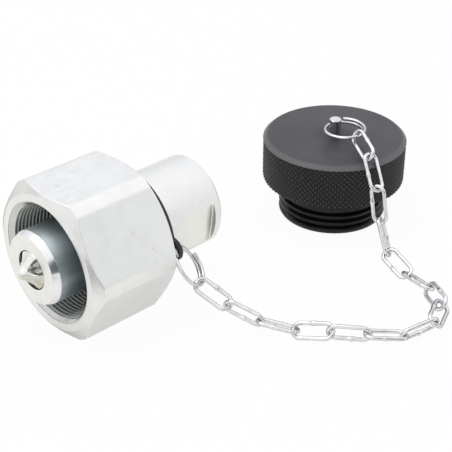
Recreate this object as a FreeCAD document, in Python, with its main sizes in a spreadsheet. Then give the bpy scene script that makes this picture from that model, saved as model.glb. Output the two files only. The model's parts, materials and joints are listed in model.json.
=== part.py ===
import FreeCAD, Part
import math
import os
import re
import Sketcher
from FreeCAD import Placement, Rotation, Vector

# Hydraulic screw coupling plug, millimetres. The origin is on the coupling's axis in the plane of the nut's mouth,
# +X runs along the axis to the rear port and +Z is up. The nut lies on one of its flats. The dust plug stands on
# its open end beside it, tied on by a chain of long links with a split ring at each end.

DIMENSIONS = {
    # hexagon nut: outside
    "nut_across_flats": 52.0,
    "nut_corner_radius": 28.7,
    "nut_length": 35.2,
    "nut_front_face_radius": 24.6,
    "nut_rear_face_radius": 23.75,
    "nut_chamfer_angle": 30.0,
    # hexagon nut: inside
    "nut_mouth_radius": 21.7,
    "nut_mouth_depth": 1.7,
    "nut_thread_radius": 19.92,
    "nut_thread_end": 18.5,
    "nut_relief_clearance": 2.8,
    "nut_web_thickness": 4.25,
    "nut_counterbore_depth": 2.45,
    "nut_counterbore_clearance": 1.6,
    # body
    "body_radius": 16.8,
    "body_tail_length": 29.3,
    "body_edge_chamfer": 0.8,
    "shoulder_step": 1.8,
    "shoulder_length": 7.8,
    "turning_clearance": 0.18,
    "axial_play": 0.2,
    "probe_radius": 13.3,
    "probe_reach": 6.0,
    "probe_taper_length": 2.35,
    "probe_taper_depth": 1.0,
    "probe_face_thickness": 2.4,
    "flow_hole_radius": 7.1,
    "valve_bore_radius": 10.2,
    # wrench flats
    "wrench_across_flats": 30.0,
    "wrench_flat_start": 12.8,
    "wrench_flat_end": 3.3,
    "wrench_flat_turn": 8.0,
    # rear port
    "port_thread_radius": 12.06,
    "port_thread_length": 14.6,
    "port_mouth_chamfer": 1.4,
    "port_runout_radius": 13.2,
    "port_runout_length": 2.5,
    # wire ring that holds the nut on the body
    "retaining_wire_radius": 0.7,
    "retaining_groove_depth": 0.75,
    "retaining_groove_clearance": 0.05,
    # poppet
    "nose_reach": 5.0,
    "nose_tip_radius": 1.9,
    "nose_rounding": 1.3,
    "nose_radius": 3.1,
    "nose_root_radius": 3.7,
    "rib_thickness": 2.6,
    "rib_clearance": 0.2,
    "seat_clearance": 0.15,
    "poppet_clearance": 0.5,
    "poppet_rim_length": 3.2,
    "poppet_boss_length": 2.6,
    "stem_radius": 3.0,
    "stem_clearance": 0.08,
    "poppet_seal_radius": 0.9,
    "poppet_seal_clearance": 0.02,
    # spring and its guide
    "spring_wire_radius": 0.8,
    "spring_mean_radius": 6.6,
    "spring_turns": 6.5,
    "spring_pilot_clearance": 0.35,
    "guide_position": 38.0,
    "guide_thickness": 2.4,
    "guide_clearance": 0.1,
    "guide_pilot_length": 3.0,
    "guide_window_radius": 2.1,
    "guide_window_circle": 8.2,
    "snap_ring_thickness": 1.2,
    "snap_ring_inner_radius": 10.9,
    "snap_groove_radius": 13.0,
    "snap_groove_clearance": 0.05,
    # lanyard strap
    "strap_thickness": 2.2,
    "strap_radius": 21.8,
    "strap_offset": 0.6,
    "strap_groove_depth": 0.6,
    "strap_groove_gap": 0.4,
    "strap_clearance": 0.15,
    "strap_lug_circle": 21.7,
    "strap_lug_radius": 4.3,
    "strap_lug_thickness": 1.8,
    "strap_eye_circle": 22.84,
    "strap_eye_radius": 2.0,
    "strap_eye_chamfer": 0.55,
    # split rings
    "ring_mean_radius": 7.5,
    "ring_wire_radius": 0.65,
    "ring_turns": 1.24,
    "ring_coil_gap": 0.06,
    # chain
    "link_wire_radius": 0.75,
    "link_pitch": 12.4,
    "link_width": 6.8,
    "link_slack": 0.3,
    # dust plug
    "plug_radius": 27.8,
    "plug_height": 32.6,
    "plug_head_height": 18.0,
    "plug_top_chamfer": 1.3,
    "plug_foot_chamfer": 0.5,
    "spigot_radius": 21.0,
    "spigot_neck_radius": 19.5,
    "ridge_pitch": 2.9,
    "ridge_crest": 1.3,
    "ridge_foot_gap": 0.35,
    "plug_wall_radius": 14.4,
    "plug_top_thickness": 5.4,
    # post in the dust plug
    "stud_radius": 2.35,
    "stud_height": 6.7,
    "stud_depth": 3.6,
    "stud_edge": 0.3,
    "stud_hole_radius": 1.5,
    "stud_hole_height": 5.0,
}

TURN_TO_X = Rotation(Vector(0, 1, 0), 90)
NOSE = "(-probe_reach - nose_reach)"
NOSE_EDGE = f"({NOSE} + nose_rounding)"
SEAT = "(probe_face_thickness - probe_reach)"
WEB_REAR = "(nut_length - nut_counterbore_depth)"
WEB_FRONT = f"({WEB_REAR} - nut_web_thickness)"
SHOULDER_REAR = f"({WEB_FRONT} - axial_play)"
SHOULDER_FRONT = f"({SHOULDER_REAR} - shoulder_length)"
WIRE_RING = f"({WEB_REAR} + axial_play + retaining_wire_radius)"
WIRE_GROOVE_HALF = "(retaining_wire_radius + retaining_groove_clearance)"
STRAP_FRONT = "(nut_length + strap_groove_gap + strap_clearance)"
STRAP_REAR = f"({STRAP_FRONT} + strap_thickness)"
STRAP_SEAT = "(body_radius - strap_groove_depth)"
SHOULDER = "(body_radius + shoulder_step)"
NUT_RELIEF = f"({SHOULDER} + nut_relief_clearance)"
BODY_REAR = "(nut_length + body_tail_length)"
PORT_MOUTH = f"({BODY_REAR} - port_mouth_chamfer)"
RUNOUT_REAR = f"({PORT_MOUTH} - port_thread_length)"
RUNOUT_FRONT = f"({RUNOUT_REAR} - port_runout_length)"
GUIDE_REAR = "(guide_position + guide_thickness)"
SNAP_FRONT = f"({GUIDE_REAR} + snap_groove_clearance)"
SNAP_REAR = f"({SNAP_FRONT} + snap_ring_thickness)"
POPPET_RADIUS = "(valve_bore_radius - poppet_clearance)"
CONE_FRONT = f"({SEAT} + seat_clearance - rib_clearance)"
CONE_REAR = f"({SEAT} + seat_clearance + {POPPET_RADIUS} - flow_hole_radius)"
HEAD_REAR = f"({CONE_REAR} + poppet_rim_length)"
PILOT_RADIUS = "(spring_mean_radius - spring_wire_radius - spring_pilot_clearance)"
SEAL_CIRCLE = f"((flow_hole_radius + {POPPET_RADIUS}) / 2)"
SEAL_AT = f"({SEAL_CIRCLE} - flow_hole_radius + {SEAT} + (poppet_seal_radius + poppet_seal_clearance) * sqrt(2))"
SPIGOT_HEIGHT = "(plug_height - plug_head_height)"
COIL_PITCH = "(2 * ring_wire_radius + ring_coil_gap)"
LUG_TURN = 90.3

EYE_TURN = 92.9
RING_FROM_EYE = Vector(3.65, -2.44, -5.96)
RING_NORMAL = Vector(0.532, -0.624, 0.572)
RING_EYE_AT = 186.8
RING_HOOK_AT = 335.0
STUD_TURN = 110.0
CAP_HOOK_TURN = 299.2
CAP_RING_TURN = 71.3

# The chain as it lies, from the strap to the dust plug. Each link has its heading seen from above, in degrees from
# +X, its roll about its own length, and the height of its far end over the table. The four that climb to the small
# split ring have their rise instead, as a share of the pitch, and a taller plug makes all four of them steeper.
LYING_LINKS = [
    (-65.0, 29.0, 7.69),
    (-64.0, -76.0, 3.8),
    (-58.0, -18.0, 2.3),
    (-61.5, 40.0, 4.6),
    (-51.5, -82.0, 4.7),
    (-37.5, -8.0, 3.4),
    (-17.0, -69.0, 4.9),
    (25.5, 38.0, 4.1),
    (60.5, -56.0, 3.0),
    (78.0, 28.0, 2.0),
    (76.0, -31.0, 4.4),
]
CLIMBING_LINKS = [
    (68.5, 47.0, 0.7935),
    (75.0, -63.0, 0.9642),
    (65.0, 16.0, 0.7431),
    (66.0, -60.0, 0.2395),
]

doc = FreeCAD.newDocument("coupling_plug")
sheet = doc.addObject("Spreadsheet::Sheet", "dims")
for row, (alias, size) in enumerate(DIMENSIONS.items(), start=1):
    sheet.set(f"A{row}", alias)
    sheet.set(f"B{row}", str(size))
    sheet.setAlias(f"B{row}", alias)
doc.recompute()

parts = {}


def bound(text):
    """The expression with every alias looked up in the sheet."""
    return re.sub(r"\b[a-z]+(?:_[a-z]+)+\b", lambda alias: "dims." + alias.group(0), text)


def size_of(text):
    return float(sheet.evalExpression(bound(text)))


def new_sketch(body, name, plane):
    sketch = body.newObject("Sketcher::SketchObject", name)
    origin_plane = next(item for item in body.Origin.OriginFeatures if item.Role == plane)
    sketch.AttachmentSupport = (origin_plane, [""])
    sketch.MapMode = "FlatFace"
    return sketch


def hold(sketch, kind, line, point, text):
    """Ties one point to the sketch's own origin by a distance that the sheet gives."""
    if text == "0":
        axis = -2 if kind == "DistanceX" else -1
        sketch.addConstraint(Sketcher.Constraint("PointOnObject", line, point, axis))
        return
    number = sketch.addConstraint(Sketcher.Constraint(kind, -1, 1, line, point, size_of(text)))
    sketch.setExpression(f"Constraints[{number}]", bound(text))


def draw_outline(sketch, corners):
    """A closed outline of straight lines through corners given as pairs of expressions."""
    spots = [Vector(size_of(across), size_of(up), 0) for across, up in corners]
    first = sketch.GeometryCount
    count = len(corners)
    for i in range(count):
        sketch.addGeometry(Part.LineSegment(spots[i], spots[(i + 1) % count]), False)
    for i in range(count):
        sketch.addConstraint(Sketcher.Constraint("Coincident", first + i, 2, first + (i + 1) % count, 1))
    for i, (across, up) in enumerate(corners):
        hold(sketch, "DistanceX", first + i, 1, across)
        hold(sketch, "DistanceY", first + i, 1, up)


def draw_circle(sketch, across, up, radius):
    spot = Vector(size_of(across), size_of(up), 0)
    circle = sketch.addGeometry(Part.Circle(spot, Vector(0, 0, 1), size_of(radius)), False)
    hold(sketch, "DistanceX", circle, 3, across)
    hold(sketch, "DistanceY", circle, 3, up)
    number = sketch.addConstraint(Sketcher.Constraint("Radius", circle, size_of(radius)))
    sketch.setExpression(f"Constraints[{number}]", bound(radius))


def new_body(name):
    body = doc.addObject("PartDesign::Body", name)
    body.Label = name
    parts[name] = body
    return body


def revolve(body, kind, name, corners, plane="XY_Plane", axis="H_Axis", angle=360.0):
    """A Revolution or Groove of a straight-sided outline about the sketch's own axis."""
    sketch = new_sketch(body, name + "_profile", plane)
    draw_outline(sketch, corners)
    feature = body.newObject("PartDesign::" + kind, name)
    feature.Profile = sketch
    feature.ReferenceAxis = (sketch, [axis])
    feature.Angle = angle
    doc.recompute()
    return feature


def pad(body, name, sketch, length, midplane=False):
    feature = body.newObject("PartDesign::Pad", name)
    feature.Profile = sketch
    feature.setExpression("Length", bound(length))
    feature.Midplane = midplane
    return feature


def pocket_through(body, name, sketch):
    feature = body.newObject("PartDesign::Pocket", name)
    feature.Profile = sketch
    feature.Type = "ThroughAll"
    feature.Midplane = True
    doc.recompute()
    return feature


def round_pattern(body, name, feature, count):
    pattern = body.newObject("PartDesign::PolarPattern", name)
    pattern.Originals = [feature]
    pattern.Axis = (next(item for item in body.Origin.OriginFeatures if item.Role == "X_Axis"), [""])
    pattern.Angle = 360
    pattern.Occurrences = count
    body.Tip = pattern
    doc.recompute()


def make_nut():
    """Hexagon prism, turned down at both ends and bored for the thread, the shoulder and the wire ring."""
    nut = new_body("coupling_nut")
    sketch = new_sketch(nut, "hexagon", "YZ_Plane")
    corner = "nut_across_flats / sqrt(3)"
    flat = "nut_across_flats / 2"
    draw_outline(sketch, [
        (corner, "0"), (corner + " / 2", flat), ("-" + corner + " / 2", flat),
        ("-" + corner, "0"), ("-" + corner + " / 2", "-" + flat), (corner + " / 2", "-" + flat),
    ])
    pad(nut, "prism", sketch, "nut_length")
    doc.recompute()
    slope = "tan(nut_chamfer_angle)"
    revolve(nut, "Groove", "turned_corners", [
        ("0", "nut_front_face_radius"),
        (f"(nut_corner_radius - nut_front_face_radius) * {slope}", "nut_corner_radius"),
        (f"nut_length - (nut_corner_radius - nut_rear_face_radius) * {slope}", "nut_corner_radius"),
        ("nut_length", "nut_rear_face_radius"),
        ("nut_length", "nut_across_flats"),
        ("0", "nut_across_flats"),
    ])
    web_bore = "body_radius + turning_clearance"
    counterbore = "body_radius + nut_counterbore_clearance"
    revolve(nut, "Groove", "bore", [
        ("0", "0"),
        ("0", "nut_mouth_radius"),
        ("nut_mouth_depth", "nut_thread_radius"),
        ("nut_thread_end", "nut_thread_radius"),
        (f"nut_thread_end + {NUT_RELIEF} - nut_thread_radius", NUT_RELIEF),
        (WEB_FRONT, NUT_RELIEF),
        (WEB_FRONT, web_bore),
        (WEB_REAR, web_bore),
        (WEB_REAR, counterbore),
        ("nut_length", counterbore),
        ("nut_length", "0"),
    ])


def make_body():
    """Probe, shoulder and tail in one turned piece, with the valve bore, the rear port and two wrench flats."""
    body = new_body("plug_body")
    groove_floor = "body_radius - retaining_groove_depth"
    revolve(body, "Revolution", "turned_body", [
        ("-probe_reach", "flow_hole_radius"),
        ("-probe_reach", "probe_radius - probe_taper_depth"),
        ("probe_taper_length - probe_reach", "probe_radius"),
        (SHOULDER_FRONT, "probe_radius"),
        (SHOULDER_FRONT, SHOULDER),
        (SHOULDER_REAR, SHOULDER),
        (SHOULDER_REAR, "body_radius"),
        (f"{WIRE_RING} - {WIRE_GROOVE_HALF}", "body_radius"),
        (f"{WIRE_RING} - {WIRE_GROOVE_HALF}", groove_floor),
        (f"{WIRE_RING} + {WIRE_GROOVE_HALF}", groove_floor),
        (f"{WIRE_RING} + {WIRE_GROOVE_HALF}", "body_radius"),
        (f"{STRAP_FRONT} - strap_clearance", "body_radius"),
        (f"{STRAP_FRONT} - strap_clearance", STRAP_SEAT),
        (f"{STRAP_REAR} + strap_clearance", STRAP_SEAT),
        (f"{STRAP_REAR} + strap_clearance", "body_radius"),
        (f"{BODY_REAR} - body_edge_chamfer", "body_radius"),
        (BODY_REAR, "body_radius - body_edge_chamfer"),
        (BODY_REAR, "port_thread_radius + port_mouth_chamfer"),
        (PORT_MOUTH, "port_thread_radius"),
        (RUNOUT_REAR, "port_thread_radius"),
        (RUNOUT_REAR, "port_runout_radius"),
        (RUNOUT_FRONT, "port_runout_radius"),
        (RUNOUT_FRONT, "port_thread_radius"),
        (f"{SNAP_REAR} + snap_groove_clearance", "port_thread_radius"),
        (f"{SNAP_REAR} + snap_groove_clearance", "snap_groove_radius"),
        (f"{SNAP_FRONT} - snap_groove_clearance", "snap_groove_radius"),
        (f"{SNAP_FRONT} - snap_groove_clearance", "port_thread_radius"),
        ("guide_position", "port_thread_radius"),
        ("guide_position", "valve_bore_radius"),
        (f"{SEAT} + valve_bore_radius - flow_hole_radius", "valve_bore_radius"),
        (SEAT, "flow_hole_radius"),
    ])
    sketch = new_sketch(body, "flats", "XY_Plane")
    sketch.AttachmentOffset = Placement(Vector(), Rotation(Vector(1, 0, 0), size_of("wrench_flat_turn")))
    sketch.setExpression("AttachmentOffset.Rotation.Angle", bound("wrench_flat_turn"))
    start = "nut_length + wrench_flat_start"
    end = f"{BODY_REAR} - wrench_flat_end"
    for side in ("", "-"):
        draw_outline(sketch, [
            (start, side + "wrench_across_flats / 2"), (end, side + "wrench_across_flats / 2"),
            (end, side + "(body_radius + 1)"), (start, side + "(body_radius + 1)"),
        ])
    doc.recompute()
    pocket_through(body, "wrench_flats", sketch)


def make_retaining_ring():
    ring = doc.addObject("Part::Torus", "nut_retaining_ring")
    ring.setExpression("Radius1", bound("body_radius - retaining_groove_depth + retaining_wire_radius + turning_clearance"))
    ring.setExpression("Radius2", bound("retaining_wire_radius"))
    ring.Angle3 = 340
    ring.Placement = Placement(Vector(), TURN_TO_X)
    ring.setExpression("Placement.Base.x", bound(WIRE_RING))
    parts["nut_retaining_ring"] = ring


def make_poppet():
    """Nose, sealing cone and stem in one turned piece, with three ribs milled round the nose."""
    poppet = new_body("valve_poppet")
    stem_end = f"{GUIDE_REAR} + axial_play"
    revolve(poppet, "Revolution", "turned_poppet", [
        (NOSE, "0"),
        (NOSE, "nose_tip_radius"),
        (NOSE_EDGE, "nose_radius"),
        (CONE_FRONT, "nose_root_radius"),
        (CONE_FRONT, "flow_hole_radius - rib_clearance"),
        (CONE_REAR, POPPET_RADIUS),
        (HEAD_REAR, POPPET_RADIUS),
        (HEAD_REAR, PILOT_RADIUS),
        (f"{HEAD_REAR} + poppet_boss_length", PILOT_RADIUS),
        (f"{HEAD_REAR} + poppet_boss_length", "stem_radius"),
        (stem_end, "stem_radius"),
        (stem_end, "0"),
    ])
    seal_groove = new_sketch(poppet, "seal_section", "XY_Plane")
    draw_circle(seal_groove, SEAL_AT, SEAL_CIRCLE, "poppet_seal_radius + poppet_seal_clearance")
    groove = poppet.newObject("PartDesign::Groove", "seal_groove")
    groove.Profile = seal_groove
    groove.ReferenceAxis = (seal_groove, ["H_Axis"])
    groove.Angle = 360
    doc.recompute()
    rib = new_sketch(poppet, "rib_outline", "XZ_Plane")
    draw_outline(rib, [
        (NOSE_EDGE, "0"), (NOSE_EDGE, "nose_radius"),
        ("-probe_reach", "flow_hole_radius - rib_clearance"),
        (CONE_FRONT, "flow_hole_radius - rib_clearance"), (CONE_FRONT, "0"),
    ])
    first_rib = pad(poppet, "rib", rib, "rib_thickness", midplane=True)
    doc.recompute()
    round_pattern(poppet, "three_ribs", first_rib, 3)

    seal = doc.addObject("Part::Torus", "poppet_seal")
    seal.setExpression("Radius1", bound(SEAL_CIRCLE))
    seal.setExpression("Radius2", bound("poppet_seal_radius"))
    seal.Placement = Placement(Vector(), TURN_TO_X)
    seal.setExpression("Placement.Base.x", bound(SEAL_AT))
    parts["poppet_seal"] = seal


def make_coil(name, radius, pitch, turns, wire):
    """A round wire wound about +Z. Its centre line is a helix laid out in quarter-turn arcs."""
    arcs = math.ceil(4 * turns)
    angles = [math.tau * turns * step / (2 * arcs) for step in range(2 * arcs + 1)]
    spots = [Vector(radius * math.cos(angle), radius * math.sin(angle), pitch * angle / math.tau) for angle in angles]
    path = Part.Wire([Part.Arc(*spots[start:start + 3]).toShape() for start in range(0, 2 * arcs, 2)])
    section = Part.Wire([Part.makeCircle(wire, spots[0], Vector(0, radius, pitch / math.tau))])
    coil = doc.addObject("Part::Feature", name)
    coil.Shape = path.makePipeShell([section], True, False)
    return coil


def make_spring():
    """Compression spring with its ends ground flat, between the poppet's head and the guide."""
    length = f"(guide_position - {HEAD_REAR})"
    turns = size_of("spring_turns")
    wire = size_of("spring_wire_radius")
    coil = make_coil("spring_coil", size_of("spring_mean_radius"), (size_of(length) + wire) / turns, turns, wire)
    coil.Placement.Base.z = -wire / 2
    room = doc.addObject("Part::Cylinder", "spring_room")
    room.setExpression("Radius", bound("valve_bore_radius"))
    room.setExpression("Height", bound(length))
    spring = doc.addObject("Part::Common", "valve_spring")
    spring.Base = coil
    spring.Tool = room
    spring.Placement = Placement(Vector(), TURN_TO_X)
    spring.setExpression("Placement.Base.x", bound(HEAD_REAR))
    parts["valve_spring"] = spring


def make_guide():
    """Disc with a pilot for the spring, a bore for the stem and six round windows for the oil."""
    guide = new_body("spring_guide")
    bore = "stem_radius + stem_clearance"
    revolve(guide, "Revolution", "turned_guide", [
        ("guide_position - guide_pilot_length", bore),
        ("guide_position - guide_pilot_length", PILOT_RADIUS),
        ("guide_position", PILOT_RADIUS),
        ("guide_position", "port_thread_radius - guide_clearance"),
        (GUIDE_REAR, "port_thread_radius - guide_clearance"),
        (GUIDE_REAR, bore),
    ])
    window = new_sketch(guide, "window_outline", "YZ_Plane")
    draw_circle(window, "guide_window_circle", "0", "guide_window_radius")
    doc.recompute()
    first_window = pocket_through(guide, "window", window)
    round_pattern(guide, "six_windows", first_window, 6)

    ring = new_body("guide_snap_ring")
    revolve(ring, "Revolution", "open_ring", [
        (SNAP_FRONT, "snap_ring_inner_radius"),
        (SNAP_FRONT, "snap_groove_radius - snap_groove_clearance"),
        (SNAP_REAR, "snap_groove_radius - snap_groove_clearance"),
        (SNAP_REAR, "snap_ring_inner_radius"),
    ], angle=325.0)


def make_strap():
    """Flat ring in its groove behind the nut, with a thinner round lug for the split ring."""
    strap = new_body("lanyard_strap")
    sketch = new_sketch(strap, "ring_outline", "YZ_Plane")
    draw_circle(sketch, f"-strap_offset * sin({LUG_TURN})", f"strap_offset * cos({LUG_TURN})", "strap_radius")
    pad(strap, "ring", sketch, "strap_thickness")
    lug = new_sketch(strap, "lug_outline", "YZ_Plane")
    lug.setExpression("AttachmentOffset.Base.z", bound("strap_thickness - strap_lug_thickness"))
    draw_circle(lug, f"-strap_lug_circle * sin({LUG_TURN})", f"strap_lug_circle * cos({LUG_TURN})", "strap_lug_radius")
    pad(strap, "lug", lug, "strap_lug_thickness")
    doc.recompute()
    recess = new_sketch(strap, "recess_outline", "YZ_Plane")
    draw_circle(recess, f"-strap_lug_circle * sin({LUG_TURN})", f"strap_lug_circle * cos({LUG_TURN})", "strap_lug_radius")
    recess_cut = strap.newObject("PartDesign::Pocket", "lug_recess")
    recess_cut.Profile = recess
    recess_cut.Reversed = True
    recess_cut.setExpression("Length", bound("strap_thickness - strap_lug_thickness"))
    doc.recompute()
    holes = new_sketch(strap, "holes", "YZ_Plane")
    draw_circle(holes, "0", "0", f"{STRAP_SEAT} + strap_clearance")
    across = f"-strap_eye_circle * sin({EYE_TURN})"
    draw_circle(holes, across, f"strap_eye_circle * cos({EYE_TURN})", "strap_eye_radius")
    doc.recompute()
    bore_and_eye = pocket_through(strap, "bore_and_eye", holes)
    rims = [f"Edge{i}" for i, edge in enumerate(bore_and_eye.Shape.Edges, start=1)
            if edge.Closed and abs(edge.Length / math.tau - size_of("strap_eye_radius")) < 0.01]
    rounding = strap.newObject("PartDesign::Chamfer", "eye_rims")
    rounding.Base = (bore_and_eye, rims)
    rounding.setExpression("Size", bound("strap_eye_chamfer"))
    strap.setExpression("Placement.Base.x", bound(STRAP_FRONT))


def make_dust_plug():
    """Knurled head on a hollow spigot with three ridges; heights are over the table it stands on."""
    plug = new_body("dust_plug")
    crest_half = "ridge_crest / 2"
    slope = "(spigot_radius - spigot_neck_radius) / 2"
    outline = [("plug_wall_radius", "0"), ("spigot_radius - plug_foot_chamfer", "0")]
    for ridge in range(3):
        middle = f"(plug_foot_chamfer + ridge_foot_gap + {crest_half} + {ridge} * ridge_pitch)"
        outline.append(("spigot_radius", f"{middle} - {crest_half}"))
        outline.append(("spigot_radius", f"{middle} + {crest_half}"))
        outline.append(("spigot_neck_radius", f"{middle} + {crest_half} + {slope}"))
        if ridge < 2:
            outline.append(("spigot_neck_radius", f"{middle} + ridge_pitch - {crest_half} - {slope}"))
    outline += [
        ("spigot_neck_radius", SPIGOT_HEIGHT),
        ("plug_radius - plug_foot_chamfer", SPIGOT_HEIGHT),
        ("plug_radius", f"{SPIGOT_HEIGHT} + plug_foot_chamfer"),
        ("plug_radius", "plug_height - plug_top_chamfer"),
        ("plug_radius - plug_top_chamfer", "plug_height"),
        ("stud_radius", "plug_height"),
        ("stud_radius", "plug_height - stud_depth"),
        ("0", "plug_height - stud_depth"),
        ("0", "plug_height - plug_top_thickness"),
        ("plug_wall_radius", "plug_height - plug_top_thickness"),
    ]
    revolve(plug, "Revolution", "turned_plug", outline, plane="XZ_Plane", axis="V_Axis")

    stud = new_body("cap_stud")
    top = "plug_height + stud_height"
    revolve(stud, "Revolution", "turned_stud", [
        ("0", "plug_height - stud_depth"),
        ("stud_radius", "plug_height - stud_depth"),
        ("stud_radius", f"{top} - stud_edge"),
        ("stud_radius - stud_edge", top),
        ("0", top),
    ], plane="XZ_Plane", axis="V_Axis")
    eye = new_sketch(stud, "eye_outline", "YZ_Plane")
    draw_circle(eye, "0", "plug_height + stud_hole_height", "stud_hole_radius")
    doc.recompute()
    pocket_through(stud, "eye", eye)


def heading(degrees):
    return Vector(math.cos(math.radians(degrees)), math.sin(math.radians(degrees)), 0)


def link_rotation(along, roll):
    """Turns a link so that its length follows a direction and its width is rolled from the level."""
    level = Vector(-along.y, along.x, 0).normalize()
    width = Rotation(along, roll).multVec(level)
    return Rotation(along, width, along.cross(width), "XYZ")


def strand(turn):
    """Centre of a split ring's wire, in the ring's own frame, so many degrees from where the wire starts."""
    radius = size_of("ring_mean_radius")
    angle = math.radians(turn)
    return Vector(radius * math.cos(angle), radius * math.sin(angle), size_of(COIL_PITCH) * turn / 360)


def make_split_ring(name, start, normal):
    """A split ring at the origin, turned so that its wire starts in one direction and winds round another."""
    wire = size_of("ring_wire_radius")
    ring = make_coil(name, size_of("ring_mean_radius"), size_of(COIL_PITCH), size_of("ring_turns"), wire)
    along = (start - normal * start.dot(normal)).normalize()
    ring.Placement = Placement(Vector(), Rotation(along, normal.cross(along), normal, "XZY"))
    parts[name] = ring
    return ring


def hang_ring(ring, turn, point):
    """Moves a split ring so that its wire passes a point so many degrees from where it starts."""
    ring.Placement.Base = point - ring.Placement.Rotation.multVec(strand(turn))


def make_link():
    """Long link of round wire: two straight sides and two round ends, swept along their centre line."""
    bend = size_of("link_width / 2 - link_wire_radius")
    reach = size_of("(link_pitch + link_slack) / 2 + link_wire_radius") - bend
    ends = [Vector(reach, -bend, 0), Vector(reach, bend, 0), Vector(-reach, bend, 0), Vector(-reach, -bend, 0)]
    path = Part.Wire([
        Part.Arc(ends[0], Vector(reach + bend, 0, 0), ends[1]).toShape(),
        Part.LineSegment(ends[1], ends[2]).toShape(),
        Part.Arc(ends[2], Vector(-reach - bend, 0, 0), ends[3]).toShape(),
        Part.LineSegment(ends[3], ends[0]).toShape(),
    ])
    section = Part.Wire([Part.makeCircle(size_of("link_wire_radius"), ends[0], Vector(1, 0, 0))])
    return path.makePipeShell([section], True, True)


def make_lanyard():
    """Split ring in the strap's eye, the chain, and the split ring in the dust plug's post."""
    table = -size_of("nut_across_flats / 2")
    pitch = size_of("link_pitch")
    hook_gap = size_of("ring_wire_radius + link_slack / 2")

    eye_turn = math.radians(EYE_TURN)
    eye_circle = size_of("strap_eye_circle")
    eye_middle = size_of(f"{STRAP_REAR} - strap_lug_thickness / 2")
    eye = Vector(eye_middle, -eye_circle * math.sin(eye_turn), eye_circle * math.cos(eye_turn))
    normal = Vector(RING_NORMAL).normalize()
    to_centre = (RING_FROM_EYE - normal * RING_FROM_EYE.dot(normal)).normalize()
    body_ring = make_split_ring("body_split_ring", Rotation(normal, -RING_EYE_AT).multVec(-to_centre), normal)
    hang_ring(body_ring, RING_EYE_AT, eye)
    start = body_ring.Placement.multVec(strand(RING_HOOK_AT))

    ring_height = size_of("plug_height + stud_hole_height + ring_coil_gap") + strand(CAP_HOOK_TURN - STUD_TURN).z
    climb = (ring_height + size_of("link_slack") - LYING_LINKS[-1][2]) / pitch
    level_climb = sum(rise for turn, roll, rise in CLIMBING_LINKS)
    steeper = (climb - level_climb) / (len(CLIMBING_LINKS) - level_climb)
    links = []
    last_height = start.z - table
    reach = pitch - hook_gap
    for turn, roll, height in LYING_LINKS:
        links.append((turn, roll, (height - last_height) / reach))
        last_height = height
        reach = pitch
    links += [(turn, roll, rise + (1 - rise) * steeper) for turn, roll, rise in CLIMBING_LINKS]

    link_shape = make_link()
    point = None
    for number, (turn, roll, rise) in enumerate(links, start=1):
        along = heading(turn) * math.sqrt(1 - rise * rise) + Vector(0, 0, rise)
        if point is None:
            point = start - along * hook_gap
        name = f"chain_link_{number:02d}"
        link = doc.addObject("Part::Feature", name)
        link.Shape = link_shape
        link.Placement = Placement(point + along * (pitch / 2), link_rotation(along, roll))
        parts[name] = link
        point = point + along * pitch

    hooked = point - along * hook_gap
    cap_ring = make_split_ring("cap_split_ring", heading(CAP_RING_TURN - STUD_TURN), Vector(0, 0, 1))
    hang_ring(cap_ring, CAP_HOOK_TURN, hooked)
    stud = cap_ring.Placement.multVec(strand(STUD_TURN))
    for name in ("dust_plug", "cap_stud"):
        parts[name].Placement = Placement(Vector(stud.x, stud.y, table), Rotation(Vector(0, 0, 1), CAP_RING_TURN - 90))


make_nut()
make_body()
make_retaining_ring()
make_poppet()
make_spring()
make_guide()
make_strap()
make_dust_plug()
make_lanyard()
doc.recompute()

for item in doc.Objects:
    if "Invalid" in item.State or "Error" in item.State:
        raise RuntimeError(f"{item.Label} did not build: {item.State}")
for name, item in parts.items():
    if item.Shape.isNull() or not item.Shape.isValid() or len(item.Shape.Solids) != 1:
        raise RuntimeError(f"{name} is not one valid solid")

os.makedirs("parts", exist_ok=True)
for name, item in parts.items():
    item.Label = name
    item.Shape.exportStep(f"parts/{name}.step")
    print(f"{name}: {item.Shape.Volume:.1f} mm3")
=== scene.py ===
import json
import math
import bpy
import numpy as np
from mathutils import Matrix, Vector


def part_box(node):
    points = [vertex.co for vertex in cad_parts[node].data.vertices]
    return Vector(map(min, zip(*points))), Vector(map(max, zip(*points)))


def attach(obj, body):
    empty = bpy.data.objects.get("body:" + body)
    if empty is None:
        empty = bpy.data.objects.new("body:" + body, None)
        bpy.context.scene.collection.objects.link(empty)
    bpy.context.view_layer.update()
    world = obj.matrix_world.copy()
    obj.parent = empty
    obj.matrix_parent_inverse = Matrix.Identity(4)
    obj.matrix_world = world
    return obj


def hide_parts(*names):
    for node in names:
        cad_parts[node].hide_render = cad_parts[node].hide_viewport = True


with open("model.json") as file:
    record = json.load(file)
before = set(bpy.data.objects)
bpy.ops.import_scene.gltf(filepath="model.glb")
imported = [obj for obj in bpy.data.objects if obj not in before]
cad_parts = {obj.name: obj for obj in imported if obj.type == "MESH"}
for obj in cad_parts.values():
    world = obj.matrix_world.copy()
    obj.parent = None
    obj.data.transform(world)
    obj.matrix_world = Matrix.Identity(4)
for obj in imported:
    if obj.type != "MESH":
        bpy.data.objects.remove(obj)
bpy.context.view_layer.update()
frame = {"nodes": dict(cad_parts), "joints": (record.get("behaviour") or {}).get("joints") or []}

MM = 0.001

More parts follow.
